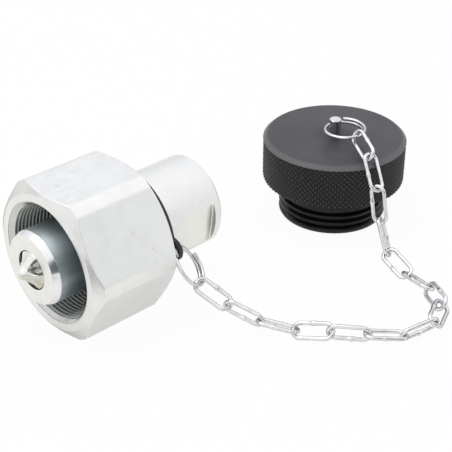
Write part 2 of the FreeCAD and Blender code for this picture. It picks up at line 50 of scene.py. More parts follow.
# Sizes that the looks share with the solids, in millimetres: stations along the coupling's axis and radii from it.
AXIS_HEIGHT = 26.0
CHAMFER_SLOPE = math.tan(math.radians(30))
NUT_LENGTH = 35.2
NUT_FLAT = 26.0
NUT_CORNER = 28.7
NUT_FRONT_FACE = 24.6
NUT_REAR_FACE = 23.75
NUT_MOUTH = 22.0
NUT_RELIEF = 21.4
NUT_RELIEF_START = 18.2
NUT_WEB = 16.98
NUT_WEB_START = 28.5
NUT_WEB_END = 32.75
NUT_COUNTERBORE = 18.4
THREAD_MINOR = 19.92
BODY = 16.8
BODY_REAR = 64.5
SHOULDER = 18.6
SHOULDER_START = 20.3
SHOULDER_END = 28.3
RING_GROOVE = 16.05
STRAP_GROOVE = 16.2
PROBE = 13.3
PROBE_FACE = -6.0
TAPER_END = -3.65
FLOW_HOLE = 7.1
VALVE_BORE = 10.2
GUIDE_SEAT = 38.0
PORT_MINOR = 12.06
PORT_MOUTH = 13.4
WRENCH_FLAT = 15.0
WRENCH_START = 48.0
WRENCH_END = 61.2
WRENCH_TURN = math.radians(8)
NOSE = -11.0
NOSE_LENGTH = 7.35
RIB_REACH = 6.9
POPPET = 9.7
POPPET_BOSS = 5.45
STEM = 3.0
GROOVE_TURN = math.radians(145)
LINK_REACH = 7.1
LINK_BEND = 2.65

stud_low, stud_high = (np.array(corner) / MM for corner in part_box("cap_stud"))
CAP_CENTRE = ((stud_low + stud_high) / 2)[:2]
CAP_RADIUS = 27.8
CAP_HEIGHT = round((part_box("dust_plug")[1][2] / MM) + AXIS_HEIGHT, 3)
CAP_FOOT = 14.6
CAP_EDGE = 1.3
CAP_CAVITY = 14.4
CAP_TOP_THICKNESS = 5.4
SPIGOT = 21.0
SPIGOT_NECK = 19.5
SPIGOT_RIDGES = (7.3, 4.4, 1.5)

# Fine shape that only the looks have, in millimetres, and in shares of a pitch or a thickness.
FACET_ROUND = 0.07
BODY_ROUND = 0.05
WRENCH_CORNER = 0.6
THREAD_MAJOR = 20.85
THREAD_PITCH = 1.5
THREAD_START = 0.9
THREAD_END = 18.15
PORT_MAJOR = 13.22
PORT_PITCH = 1.814
PORT_THREAD_START = 48.4
PORT_THREAD_END = 64.3
THREAD_CREST_SHARE = 0.2
THREAD_ROOT_SHARE = 0.16
GROOVE = 2.6
GROOVE_ROUND = 0.16
GROOVE_SHADE_DEPTH = 2.2
GROOVE_FLOOR = [(0.0, 2.7), (2.0, 2.8), (3.5, 2.95), (4.5, 3.1), (5.3, 3.4), (6.2, 4.0), (NOSE_LENGTH, 5.2)]
NOSE_OUTLINE = [
    (0.0, 0.02), (0.05, 0.55), (0.15, 0.95), (0.35, 1.35), (0.7, 1.7), (1.2, 2.05), (1.8, 2.5), (2.4, 3.05),
    (3.0, 3.75), (3.6, 4.6), (4.2, 5.55), (4.7, 6.35), (5.0, 6.7), (5.4, RIB_REACH), (NOSE_LENGTH, RIB_REACH),
]
KNURL_COUNT = 82
KNURL_DEPTH = 0.55
KNURL_FADE = 0.3
KNURL_FOOT = CAP_FOOT + 0.55
CAP_SKIN = CAP_RADIUS - 0.02
LINK_WIRE = 0.72
WELD_HEIGHT = 0.26
WELD_WIDTH = 0.75
WELD_SPREAD = 1.2
STRAP_RIM_START = 17.5
STRAP_RIM_WIDTH = 3.0
STRAP_RIM_THINNING = 0.24
STRAP_LUG_THINNING = 0.1
STRAP_LUG_RADIUS = 4.0
STRAP_LUG_FADE = 2.0
OUT_OF_REACH = 40.0

# Fineness of the meshes.
NUT_SIDES = 432
BODY_SIDES = 320
POPPET_SIDES = 288
CAP_SIDES = 256
KNURL_SIDES = 10 * KNURL_COUNT
KNURL_ROWS = 96
WIRE_SIDES = 16
SHANK_STEPS = 24
BEND_STEPS = 20
THREAD_STEP = 0.15

WHITE = (1, 1, 1)


# Meshes


def soft_min(first, second, size):
    """Lesser of two values, with the step between them rounded over about the given size."""
    low = np.minimum(first, second)
    return low - size * np.log(np.exp((low - first) / size) + np.exp((low - second) / size))


def rounded(corners, steps=5):
    """An open line through (station, radius, fillet) corners, with each corner rounded to its own fillet."""
    points = []
    last = len(corners) - 1
    for i, (station, radius, fillet) in enumerate(corners):
        here = np.array((station, radius))
        if i in (0, last) or fillet <= 0:
            points.append(here)
            continue
        before = np.array(corners[i - 1][:2]) - here
        after = np.array(corners[i + 1][:2]) - here
        room = 0.45 * min(np.linalg.norm(before), np.linalg.norm(after))
        before, after = before / np.linalg.norm(before), after / np.linalg.norm(after)
        half = math.acos(max(-1.0, min(1.0, float(before @ after)))) / 2
        if half > math.radians(89):
            points.append(here)
            continue
        reach = min(fillet / math.tan(half), room)
        centre = here + (before + after) / np.linalg.norm(before + after) * reach / math.cos(half)
        start, end = here + before * reach - centre, here + after * reach - centre
        turn = math.atan2(start[0] * end[1] - start[1] * end[0], float(start @ end))
        for step in range(steps + 1):
            cosine, sine = math.cos(turn * step / steps), math.sin(turn * step / steps)
            arm = (cosine * start[0] - sine * start[1], sine * start[0] + cosine * start[1])
            points.append(centre + np.array(arm))
    return [(float(station), float(radius)) for station, radius in points]


def full_turn(sides):
    return np.linspace(0, math.tau, sides, endpoint=False)


def axial_ring(station, radius, angles):
    """Points round the coupling's axis. The angle counts from +Y towards +Z."""
    radius = np.broadcast_to(radius, angles.shape)
    return np.stack([np.full_like(angles, station), radius * np.cos(angles), radius * np.sin(angles)], axis=-1)


def axial_rings(outline, angles):
    return [axial_ring(station, radius, angles) for station, radius in outline]


def cap_ring(height, radius, angles):
    """Points round the dust plug's axis, at a height over the table."""
    radius = np.broadcast_to(radius, angles.shape)
    x = CAP_CENTRE[0] + radius * np.cos(angles)
    y = CAP_CENTRE[1] + radius * np.sin(angles)
    return np.stack([x, y, np.full_like(angles, height - AXIS_HEIGHT)], axis=-1)


def cap_lathe(corners, angles):
    """Vertices and quads of a turned surface of the dust plug, through (radius, height, fillet) corners."""
    return loft([cap_ring(height, radius, angles) for radius, height in rounded(corners)])


def loft(rings, closed=False):
    """Vertices and quads through rings of equal length, each ring closed on itself."""
    count = len(rings[0])
    faces = []
    for i in range(len(rings) if closed else len(rings) - 1):
        first, second = i * count, ((i + 1) % len(rings)) * count
        for j in range(count):
            k = (j + 1) % count
            faces.append((first + j, first + k, second + k, second + j))
    return np.concatenate(rings), faces


def new_piece(name, points, faces, materials, body, slot, sharp=50):
    """A smooth mesh from points in millimetres, which rides on a body. Edges over sharp degrees stay sharp."""
    mesh = bpy.data.meshes.new(name)
    mesh.from_pydata((np.asarray(points, float) * MM).tolist(), [], faces)
    mesh.update()
    mesh.shade_smooth()
    mesh.set_sharp_from_angle(angle=math.radians(sharp))
    for material in materials:
        mesh.materials.append(material)
    piece = bpy.data.objects.new(name, mesh)
    bpy.context.scene.collection.objects.link(piece)
    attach(piece, body)
    return piece


def face_middles(piece):
    """Middles of a piece's faces as station, radius and angle on the coupling's axis."""
    middles = np.array([face.center[:] for face in piece.data.polygons]) / MM
    return middles[:, 0], np.hypot(middles[:, 1], middles[:, 2]), np.arctan2(middles[:, 2], middles[:, 1])


def thread_depth(phase):
    """0 on the crest and 1 at the root of a thread, for a phase that runs from 0 to 1 along one pitch."""
    from_crest = 1 - np.abs(phase % 1.0 - 0.5) * 2
    return np.clip((from_crest - THREAD_CREST_SHARE) / (1 - THREAD_CREST_SHARE - THREAD_ROOT_SHARE), 0, 1)


def inner_thread(start, end, minor, major, pitch, angles, least):
    """Rings of an internal thread. least gives the smallest radius at a station, for the chamfers at its ends."""
    rings = []
    for step in range(round((end - start) / THREAD_STEP) + 1):
        station = start + step * THREAD_STEP
        depth = thread_depth((station - pitch * angles / math.tau) / pitch)
        rings.append(axial_ring(station, np.maximum(minor + (major - minor) * depth, least(station)), angles))
    return rings


# Shader nodes


def new_material(name, **settings):
    material = bpy.data.materials.new(name)
    material.use_nodes = True
    tree = material.node_tree
    shader = tree.nodes["Principled BSDF"]
    for socket, value in settings.items():
        shader.inputs[socket.replace("_", " ")].default_value = value
    return material, tree, shader


def feed(tree, socket, value):
    """Links a socket to another one, or sets its value."""
    if isinstance(value, bpy.types.NodeSocket):
        tree.links.new(value, socket)
    else:
        socket.default_value = value


def add(tree, kind, settings=None, **inputs):
    made = tree.nodes.new(kind)
    for key, value in (settings or {}).items():
        setattr(made, key, value)
    for key, value in inputs.items():
        feed(tree, made.inputs[key.replace("_", " ")], value)
    return made


def calculate(tree, operation, first, second=0.0):
    made = add(tree, "ShaderNodeMath", {"operation": operation})
    feed(tree, made.inputs[0], first)
    feed(tree, made.inputs[1], second)
    return made.outputs["Value"]


def compare(tree, operation, place, fixed):
    """Dot product with a fixed vector, or the distance from it."""
    made = add(tree, "ShaderNodeVectorMath", {"operation": operation})
    feed(tree, made.inputs[0], place)
    feed(tree, made.inputs[1], fixed)
    return made.outputs["Value"]


def solid_place(tree, stretch=WHITE):
    """Coordinates in the piece's own space, each times its own factor."""
    where = add(tree, "ShaderNodeTexCoord").outputs["Object"]
    return add(tree, "ShaderNodeMapping", Vector=where, Scale=stretch).outputs["Vector"]


def lathe_place(tree, upright=False):
    """Coordinates of a turned piece as a vector, the way along its axis, and the distance from it."""
    where = add(tree, "ShaderNodeTexCoord").outputs["Object"]
    shift = (-CAP_CENTRE[0] * MM, -CAP_CENTRE[1] * MM, 0) if upright else (0, 0, 0)
    moved = add(tree, "ShaderNodeMapping", Vector=where, Location=shift).outputs["Vector"]
    parts = add(tree, "ShaderNodeSeparateXYZ", Vector=moved).outputs
    along, across, other = (parts[axis] for axis in ("ZXY" if upright else "XYZ"))
    squares = [calculate(tree, "MULTIPLY", part, part) for part in (across, other)]
    distance = calculate(tree, "SQRT", calculate(tree, "ADD", *squares))
    return add(tree, "ShaderNodeCombineXYZ", X=along, Y=distance).outputs["Vector"], along, distance


def noise(tree, where, scale, detail=4.0, roughness=0.55):
    made = add(tree, "ShaderNodeTexNoise", Vector=where, Scale=scale, Detail=detail, Roughness=roughness)
    return made.outputs["Fac"]


def ramp(tree, value, stops):
    """A colour by a value from 0 to 1, through (value, colour) stops."""
    made = add(tree, "ShaderNodeValToRGB", Fac=value)
    elements = made.color_ramp.elements
    while len(elements) < len(stops):
        elements.new(0.5)
    for element, (position, colour) in zip(elements, stops):
        element.position = position
        element.color = (*colour, 1)
    return made.outputs["Color"]


def span(tree, value, low, high, start=0.3, end=0.7):
    """A value from start to end, stretched to run from low to high and held there beyond."""
    made = add(tree, "ShaderNodeMapRange", Value=value)
    made.inputs["From Min"].default_value = start
    made.inputs["From Max"].default_value = end
    made.inputs["To Min"].default_value = low
    made.inputs["To Max"].default_value = high
    return made.outputs["Result"]


def shade(tree, colour, by):
    """Multiplies a colour by another."""
    made = add(tree, "ShaderNodeMix", {"data_type": "RGBA", "blend_type": "MULTIPLY"})
    made.inputs["Factor"].default_value = 1.0
    tree.links.new(colour, made.inputs["A"])
    tree.links.new(by, made.inputs["B"])
    return made.outputs["Result"]


def blend(tree, share, under, over):
    """One colour at a share of 0, and a fixed one at a share of 1."""
    made = add(tree, "ShaderNodeMix", {"data_type": "RGBA"})
    tree.links.new(share, made.inputs["Factor"])
    tree.links.new(under, made.inputs["A"])
    made.inputs["B"].default_value = (*over, 1)
    return made.outputs["Result"]


def bump(tree, shader, height, strength, depth):
    made = add(tree, "ShaderNodeBump", Height=height, Strength=strength, Distance=depth)
    tree.links.new(made.outputs["Normal"], shader.inputs["Normal"])


def finish(material, tree, shader, colour, marks, gloss, strength, depth):
    """Gives a material its colour, and its roughness and relief from the same marks."""
    tree.links.new(colour, shader.inputs["Base Color"])
    tree.links.new(span(tree, marks, *gloss), shader.inputs["Roughness"])
    bump(tree, shader, marks, strength, depth)
    return material


def grey(tone):
    return (tone, tone, tone)


# Materials


def cloudy(tree, light, dark, scale, detail=6.0, roughness=0.65):
    """A colour that drifts between a light and a dark tone."""
    return ramp(tree, noise(tree, solid_place(tree), scale, detail, roughness), [(0.3, dark), (0.7, light)])


def plated(name, light, dark, gloss, patch=45.0, grain=700.0, stretch=WHITE, stains=0.0, rim=1.0):
    """Zinc-plated or bare metal: cloudy colour, uneven gloss, fine grain and, where asked, warm stains and specks. rim
    is how bright it stays where it is seen edge-on."""
    material, tree, shader = new_material(name, Metallic=1.0, Specular_Tint=(*grey(rim), 1))
    colour = cloudy(tree, light, dark, patch)
    if stains:
        spots = noise(tree, solid_place(tree), 330.0, 2.0, 0.5)
        wear_and_shade = 1 - stains
        colour = shade(tree, colour, ramp(tree, spots, [(0.68, WHITE), (0.75, (wear_and_shade, wear_and_shade, wear_and_shade * 0.98))]))
        wide = noise(tree, solid_place(tree), 150.0, 6.0, 0.7)
        colour = shade(tree, colour, ramp(tree, wide, [(0.36, (0.955, 0.955, 0.945)), (0.56, WHITE)]))
    fine = noise(tree, solid_place(tree, stretch), grain, 3.0, 0.6)
    colour = shade(tree, colour, ramp(tree, fine, [(0.3, (0.965, 0.965, 0.96)), (0.7, WHITE)]))
    return finish(material, tree, shader, colour, fine, gloss, 0.3, 0.00002)


def turned(name, light, dark, gloss, marks=900.0, depth=0.00001, upright=False, contrast=0.04, streaks=None, rim=1.0):
    """Lathe-turned metal, with fine rings round its axis on every face. streaks are its tones by the angle from -Y
    towards +Z, painted reflection and shade that runs along the piece. rim is as for plated."""
    material, tree, shader = new_material(name, Metallic=1.0, Specular_Tint=(*grey(rim), 1))
    rings = noise(tree, lathe_place(tree, upright)[0], marks, 4.0, 0.75)
    colour = cloudy(tree, light, dark, 45.0)
    colour = shade(tree, colour, ramp(tree, rings, [(0.3, grey(1 - contrast)), (0.6, WHITE)]))
    wide = noise(tree, solid_place(tree), 170.0, 6.0, 0.7)
    colour = shade(tree, colour, ramp(tree, wide, [(0.36, (0.965, 0.965, 0.955)), (0.56, WHITE)]))
    # Painted reflection and shade: tones by the angle round the axis.
    if streaks:
        parts = add(tree, "ShaderNodeSeparateXYZ", Vector=solid_place(tree)).outputs
        angle = calculate(tree, "ARCTAN2", parts["Z"], calculate(tree, "MULTIPLY", parts["Y"], -1.0))
        waver = span(tree, noise(tree, solid_place(tree, (0.3, 1, 1)), 260.0, 3.0, 0.6), -0.10, 0.10)
        share = span(tree, calculate(tree, "ADD", angle, waver), 0.0, 1.0, -math.pi, math.pi)
        stops = [((degrees + 180) / 360, grey(tone)) for degrees, tone in streaks]
        colour = shade(tree, colour, ramp(tree, share, stops))
    return finish(material, tree, shader, colour, rings, gloss, 0.5, depth)


def rubber(name, colour):
    material, tree, shader = new_material(name)
    fine = noise(tree, solid_place(tree), 900.0)
    wear_and_shade = tuple(1.6 * channel for channel in colour)
    colour = ramp(tree, fine, [(0.35, colour), (0.75, wear_and_shade)])
    return finish(material, tree, shader, colour, fine, (0.32, 0.46), 0.3, 0.00004)


def anodised(name, light, dark, gloss, rings, depth, specular, grooves=None, edge=None):
    """Dark anodised aluminium with faint turning rings and fine pale specks. grooves is the painted shade at the bottom
    of a knurl, which fades out to lighter wear on its tips. edge is the colour of the rubbed edge of the top, which
    gets a painted shadow round its post."""
    material, tree, shader = new_material(name, Specular_IOR_Level=specular)
    colour = cloudy(tree, light, dark, 60.0, 5.0, 0.6)
    where, _, distance = lathe_place(tree, upright=True)
    if grooves:
        # Painted shade down the knurl's grooves, fading out towards the tips.
        share = span(tree, distance, 0.0, 1.0, (CAP_RADIUS - 0.50) * MM, (CAP_RADIUS - 0.06) * MM)
        wear_and_shade = tuple(7 * tone for tone in grooves)
        colour = shade(tree, colour, ramp(tree, share, [(0.0, grooves), (0.45, wear_and_shade), (1.0, WHITE)]))
    if edge:
        shoulder = CAP_RADIUS - CAP_EDGE
        wear_and_shade = span(tree, distance, 0.0, 1.0, (shoulder - 1.0) * MM, (shoulder + 0.4) * MM)
        # Painted shadow on the top round its post.
        post_shadow_share = span(tree, distance, 0.0, 1.0, 2.0 * MM, 9.5 * MM)
        post_shadow = ramp(tree, post_shadow_share, [(0.0, (0.35, 0.35, 0.37)), (1.0, WHITE)])
        colour = shade(tree, blend(tree, wear_and_shade, colour, edge), post_shadow)
    dust = noise(tree, solid_place(tree), 1100.0, 1.0, 0.4)
    colour = blend(tree, span(tree, dust, 0.0, 0.3, 0.73, 0.79), colour, grey(0.3))
    marks = noise(tree, where, rings, 3.0, 0.7)
    return finish(material, tree, shader, colour, marks, gloss, 0.4, depth)


def poppet_metal():
    """Bright steel, with painted light and shade: darker on its lower half, dark brown in its grooves, and black from
    the nose's root on.
    """
    material, tree, shader = new_material("poppet_steel", Metallic=1.0)
    where, along, _ = lathe_place(tree)
    clouds = noise(tree, solid_place(tree), 240.0, 4.0, 0.6)
    colour = ramp(tree, clouds, [(0.3, (0.74, 0.725, 0.67)), (0.5, (0.88, 0.875, 0.855)), (0.7, (0.98, 0.98, 0.975))])
    # Painted light and shade: the top half of the poppet lighter and the bottom half darker.
    parts = add(tree, "ShaderNodeSeparateXYZ", Vector=solid_place(tree)).outputs
    painted_light_share = span(tree, parts["Z"], 0.0, 1.0, -0.6 * MM, 1.2 * MM)
    colour = shade(tree, colour, ramp(tree, painted_light_share, [(0.0, (0.76, 0.75, 0.69)), (1.0, WHITE)]))
    # Painted shade in the grooves, dark brown, heavier on one side of each groove.
    groove = add(tree, "ShaderNodeAttribute", {"attribute_name": "groove"}).outputs["Fac"]
    groove_shade = ramp(tree, groove, [
        (0.0, WHITE), (0.2, (0.66, 0.64, 0.61)), (0.55, (0.24, 0.23, 0.21)), (0.8, (0.30, 0.30, 0.29)),
        (1.0, (0.46, 0.47, 0.48)),
    ])
    colour = shade(tree, colour, groove_shade)
    # Painted shade: black from the nose's root on, where the hole behind the poppet lies in shadow.
    deep_shade = span(tree, along, 0.0, 1.0, -5.0 * MM, -4.3 * MM)
    colour = shade(tree, colour, ramp(tree, deep_shade, [(0.0, WHITE), (1.0, grey(0.02))]))
    marks = noise(tree, where, 900.0, 3.0, 0.7)
    return finish(material, tree, shader, colour, marks, (0.24, 0.34), 0.4, 0.000006)


def milled_metal():
    """Zinc over milled steel: marks across the flat, a painted reflection of the far end wall as a darker band on
    the flat beside it, and painted shade on the end walls.
    """
    material, tree, shader = new_material("milled_zinc", Metallic=1.0)
    along = lathe_place(tree)[1]
    streaks = noise(tree, solid_place(tree, (1, 0.12, 0.12)), 700.0, 4.0, 0.7)
    colour = ramp(tree, streaks, [(0.3, (0.86, 0.875, 0.85)), (0.5, (0.90, 0.89, 0.87)), (0.7, (0.93, 0.93, 0.91))])
    # Painted shade on the end walls, and a painted reflection of the far wall on the flat beside it.
    share = span(tree, along, 0.0, 1.0, (WRENCH_START - 0.3) * MM, (WRENCH_END + 0.3) * MM)
    painted_dark_tone = (0.62, 0.64, 0.60)
    shade_and_reflection_bands = ramp(tree, share, [
        (0.02, painted_dark_tone), (0.05, WHITE), (0.76, WHITE), (0.90, painted_dark_tone), (0.925, painted_dark_tone), (0.94, WHITE), (0.955, WHITE),
        (0.965, painted_dark_tone),
    ])
    return finish(material, tree, shader, shade(tree, colour, shade_and_reflection_bands), streaks, (0.34, 0.48), 0.4, 0.00001)


# Tones of the probe by the angle from -Y towards +Z, in degrees: painted reflection and shade.
PROBE_PAINTED_SHADE = [
    (-180, 0.8), (-120, 0.7), (-80, 0.8), (-45, 0.85), (-32, 0.64), (-20, 0.74), (-12, 0.72), (0, 0.86), (9, 0.80),
    (17, 0.62), (27, 0.58), (36, 0.70), (46, 0.92), (56, 1.0), (68, 0.98), (80, 0.68), (98, 0.50), (112, 0.42),
    (135, 0.6), (165, 0.8),
]
flat_zinc = plated("drawn_zinc", (0.90, 0.905, 0.915), (0.86, 0.865, 0.875), (0.34, 0.46), stains=0.09,
                   stretch=(0.25, 1, 1))
face_zinc = turned("turned_zinc", (0.905, 0.905, 0.90), (0.86, 0.865, 0.86), (0.30, 0.42))
body_zinc = turned("body_zinc", grey(0.89), (0.84, 0.845, 0.845), (0.28, 0.40), contrast=0.02)
chamfer_zinc = turned("chamfer_zinc", (0.90, 0.90, 0.89), (0.86, 0.86, 0.85), (0.20, 0.28), depth=0.000004,
                      contrast=0.02, rim=0.6)
lip_zinc = turned("lip_zinc", (0.66, 0.665, 0.66), (0.58, 0.585, 0.58), (0.18, 0.26))
# Darker than the zinc outside: painted shade in the threads and bores inside the nut and the body.
thread_steel_shaded = turned("thread_steel_shaded", (0.45, 0.47, 0.45), (0.32, 0.335, 0.325), (0.44, 0.56))
probe_face = turned("probe_face", (0.93, 0.93, 0.915), (0.87, 0.87, 0.85), (0.30, 0.40))
probe_side = turned("probe_side", (0.87, 0.97, 1.0), (0.80, 0.90, 0.95), (0.47, 0.57), depth=0.000006,
                    contrast=0.02, streaks=PROBE_PAINTED_SHADE)
probe_taper = turned("probe_taper", (0.90, 0.905, 0.915), (0.84, 0.845, 0.86), (0.13, 0.20), depth=0.000004,
                     contrast=0.02)
# Near-black: painted shade in the valve bore behind the flow hole.
bore_steel_shaded = turned("bore_steel_shaded", (0.07, 0.07, 0.065), (0.04, 0.04, 0.038), (0.30, 0.42))
poppet_steel = poppet_metal()
milled_zinc = milled_metal()
spring_steel = plated("spring_steel", (0.55, 0.55, 0.56), (0.42, 0.42, 0.44), (0.25, 0.40))
chain_zinc = plated("chain_zinc", (0.92, 0.93, 0.95), (0.66, 0.67, 0.69), (0.14, 0.24), patch=260.0, grain=1400.0,
                    rim=0.22)
ring_zinc = plated("ring_zinc", (0.90, 0.90, 0.89), (0.74, 0.74, 0.73), (0.34, 0.42), patch=120.0, grain=1400.0,
                   rim=0.6)
# The stud: a lighter copy of its metal for the top and a darker one for the side, painted light and shade.
stud_top_lit = turned("stud_top_lit", (0.88, 0.89, 0.88), (0.78, 0.79, 0.78), (0.42, 0.52), upright=True, marks=1600.0)
stud_side_shaded = turned("stud_side_shaded", (0.66, 0.67, 0.66), (0.50, 0.51, 0.50), (0.10, 0.18), upright=True, marks=1600.0,
                   depth=0.000003)
strap_rubber = rubber("strap_rubber", (0.010, 0.010, 0.011))
seal_rubber = rubber("seal_rubber", grey(0.008))
cap_top = anodised("cap_top", (0.047, 0.047, 0.059), (0.031, 0.031, 0.040), (0.40, 0.45), rings=700.0,
                   depth=0.000003, specular=0.5, edge=(0.108, 0.108, 0.113))
cap_knurl = anodised("cap_knurl", (0.085, 0.082, 0.075), (0.052, 0.050, 0.045), (0.34, 0.5), rings=1500.0,
                     depth=0.000004, specular=0.33, grooves=grey(0.02))
# Near-black, far darker than the rest of the plug: painted shade under the plug's head.
cap_spigot = anodised("cap_spigot", grey(0.004), grey(0.002), (0.14, 0.22), rings=1500.0, depth=0.000004,
                      specular=0.3)


# Coupling nut


def make_nut():
    """Hexagon with turned ends, a real thread turn by turn, and the web that pulls on the body's shoulder."""
    angles = full_turn(NUT_SIDES)
    sixth = math.pi / 3

    def off_facet(angle):
        """Angle from the middle of the nearest flat."""
        return (angle - math.pi / 2 + sixth / 2) % sixth - sixth / 2

    flats = NUT_FLAT / np.cos(off_facet(angles))

    def outside(station, cone):
        return axial_ring(station, soft_min(flats, np.full_like(angles, cone), FACET_ROUND), angles)

    def least(station):
        """Chamfer at the mouth and run-out at the far end of the thread."""
        return max(NUT_MOUTH - station, 20.2 + (station - 16.9))

    front_end = (NUT_CORNER - NUT_FRONT_FACE) * CHAMFER_SLOPE
    rear_end = NUT_LENGTH - (NUT_CORNER - NUT_REAR_FACE) * CHAMFER_SLOPE
    rings = axial_rings(rounded([
        (NUT_LENGTH - 0.4, NUT_COUNTERBORE, 0), (NUT_WEB_END, NUT_COUNTERBORE, 0.1), (NUT_WEB_END, NUT_WEB, 0.15),
        (NUT_WEB_START, NUT_WEB, 0.15), (NUT_WEB_START, NUT_RELIEF, 0.3), (NUT_RELIEF_START, NUT_RELIEF, 0),
    ]), angles)
    thread = inner_thread(THREAD_START, THREAD_END, THREAD_MINOR, THREAD_MAJOR, THREAD_PITCH, angles, least)
    rings += thread[::-1]
    rings += axial_rings([
        (0.5, 21.45), (0.42, 21.55), (0.4, 21.9), (0.36, 21.97), (0.1, NUT_MOUTH), (0.03, 22.05), (0.0, 22.2),
        (0.0, 23.2), (0.0, 24.2), (0.0, 24.5),
    ], angles)
    rings.append(outside(0.04, NUT_FRONT_FACE + 0.12))
    for station in np.linspace(0.12, front_end, 26):
        rings.append(outside(station, NUT_FRONT_FACE + station / CHAMFER_SLOPE))
    for station in np.linspace(front_end + 0.15, rear_end - 0.15, 12):
        rings.append(outside(station, NUT_CORNER))
    for station in np.linspace(rear_end, NUT_LENGTH - 0.12, 28):
        rings.append(outside(station, NUT_REAR_FACE + (NUT_LENGTH - station) / CHAMFER_SLOPE))
    rings += axial_rings([
        (NUT_LENGTH - 0.03, NUT_REAR_FACE + 0.05), (NUT_LENGTH, 23.6), (NUT_LENGTH, 19.0), (NUT_LENGTH - 0.1, 18.55),
    ], angles)
    points, faces = loft(rings, closed=True)
    materials = [flat_zinc, face_zinc, thread_steel_shaded, chamfer_zinc, lip_zinc]
    flat, face, inside, chamfer, lip = range(len(materials))
    nut = new_piece("nut_dressed", points, faces, materials, "nut", "zinc")

    station, radius, angle = face_middles(nut)
    across = radius * np.cos(off_facet(angle))
    kind = np.where(across > NUT_FLAT - 0.06, flat, face)
    kind[(kind == face) & (radius > NUT_FRONT_FACE) & (station > 0.01) & (station < 3)] = chamfer
    kind[(radius < 21.98) & (station < 1.6)] = lip
    # Inside the nut: the darker steel that paints shade into the thread.
    kind[(radius < 21.3) & (station > 1.6) & (station < 34)] = inside
    kind[(radius < 21.6) & (station > 17) & (station < 29)] = inside
    nut.data.polygons.foreach_set("material_index", kind.astype(np.int32))
    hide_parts("coupling_nut")


# Plug body


def make_body():
    """Probe, shoulder and tail in one piece, with the wrench flats and the threaded rear port."""
    angles = full_turn(BODY_SIDES)
    flats = WRENCH_FLAT / np.maximum(np.abs(np.cos(angles - WRENCH_TURN)), 1e-3)

    def milled(station):
        """Body at a station of the wrench flats, which meet their end walls in a small round."""
        depth = min(station - WRENCH_START, WRENCH_END - station)
        lift = WRENCH_CORNER - math.sqrt(WRENCH_CORNER ** 2 - max(0.0, WRENCH_CORNER - depth) ** 2)
        cut = np.minimum(flats + lift, OUT_OF_REACH)
        return axial_ring(station, soft_min(cut, np.full_like(angles, BODY), BODY_ROUND), angles)

    def least(station):
        """Chamfer at the rear and run-out at the front end of the port's thread."""
        return max(PORT_MOUTH - (BODY_REAR - station), 12.9 - 2 * (station - PORT_THREAD_START))

    rings = axial_rings(rounded([
        (PROBE_FACE, FLOW_HOLE, 0), (PROBE_FACE, 12.3, 0.2), (TAPER_END, PROBE, 0.4),
        (SHOULDER_START, PROBE, 0.3), (SHOULDER_START, SHOULDER, 0.3), (SHOULDER_END, SHOULDER, 0.3),
        (SHOULDER_END, BODY, 0.2), (32.85, BODY, 0.1), (32.85, RING_GROOVE, 0.1), (34.35, RING_GROOVE, 0.1),
        (34.35, BODY, 0.1), (35.6, BODY, 0.1), (35.6, STRAP_GROOVE, 0.1), (38.1, STRAP_GROOVE, 0.1),
        (38.1, BODY, 0.1), (WRENCH_START - 0.01, BODY, 0),
    ]), angles)
    steps = [0.001, 0.02, 0.06, 0.12, 0.2, 0.3, 0.42, WRENCH_CORNER]
    rings += [milled(WRENCH_START + step) for step in steps]
    rings += [milled(station) for station in np.linspace(WRENCH_START + 1, WRENCH_END - 1, 8)]
    rings += [milled(WRENCH_END - step) for step in reversed(steps)]
    tail = rounded([
        (WRENCH_END + 0.01, BODY, 0), (63.7, BODY, 0.3), (BODY_REAR, 16.0, 0.2), (BODY_REAR, PORT_MOUTH, 0.15),
        (63.1, 12.1, 0),
    ])
    rings += axial_rings(tail[:-1], angles)
    thread = inner_thread(PORT_THREAD_START, PORT_THREAD_END, PORT_MINOR, PORT_MAJOR, PORT_PITCH, angles, least)
    rings += thread[::-1]
    rings += axial_rings(rounded([
        (48.3, 13.2, 0), (46.0, 13.2, 0.2), (46.0, PORT_MINOR, 0.1), (41.7, PORT_MINOR, 0.1), (41.7, 13.0, 0.1),
        (40.4, 13.0, 0.1), (40.4, PORT_MINOR, 0.1), (GUIDE_SEAT, PORT_MINOR, 0.1), (GUIDE_SEAT, VALVE_BORE, 0.2),
        (-0.5, VALVE_BORE, 0.3), (-3.6, FLOW_HOLE, 0.15),
    ]), angles)
    rings += axial_rings([(-5.0, FLOW_HOLE), (-5.85, FLOW_HOLE)], angles)
    points, faces = loft(rings, closed=True)
    materials = [body_zinc, probe_side, probe_face, thread_steel_shaded, milled_zinc, probe_taper, bore_steel_shaded]
    outside, side, face, inside, milling, taper, bore = range(len(materials))
    body = new_piece("body_dressed", points, faces, materials, "body", "zinc")

    station, radius, angle = face_middles(body)
    kind = np.full(len(station), outside, np.int32)
    kind[(station < SHOULDER_START - 0.05) & (radius > PROBE - 0.2)] = side
    kind[(station < -3.6) & (radius > 12.2)] = taper
    kind[(station < PROBE_FACE + 0.1) & (radius > FLOW_HOLE - 0.1) & (radius < 12.2)] = face
    across = radius * np.abs(np.cos(angle - WRENCH_TURN))
    sunk = radius < BODY - 0.02
    kind[(station > WRENCH_START) & (station < WRENCH_END) & (across < 16.0) & (across > 13) & sunk] = milling
    for wall in (WRENCH_START, WRENCH_END):
        kind[(abs(station - wall) < 0.01) & sunk & (radius > 14)] = milling
    # Inside the body: the darker steel and the near-black bore, both painted shade.
    kind[((radius < 11) & (station > -5.9)) | ((radius < 13.25) & (station > 37))] = inside
    kind[(station > -5.05) & (station < -0.6) & (radius < VALVE_BORE - 0.05)] = bore
    body.data.polygons.foreach_set("material_index", kind)
    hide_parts("plug_body")


# Poppet


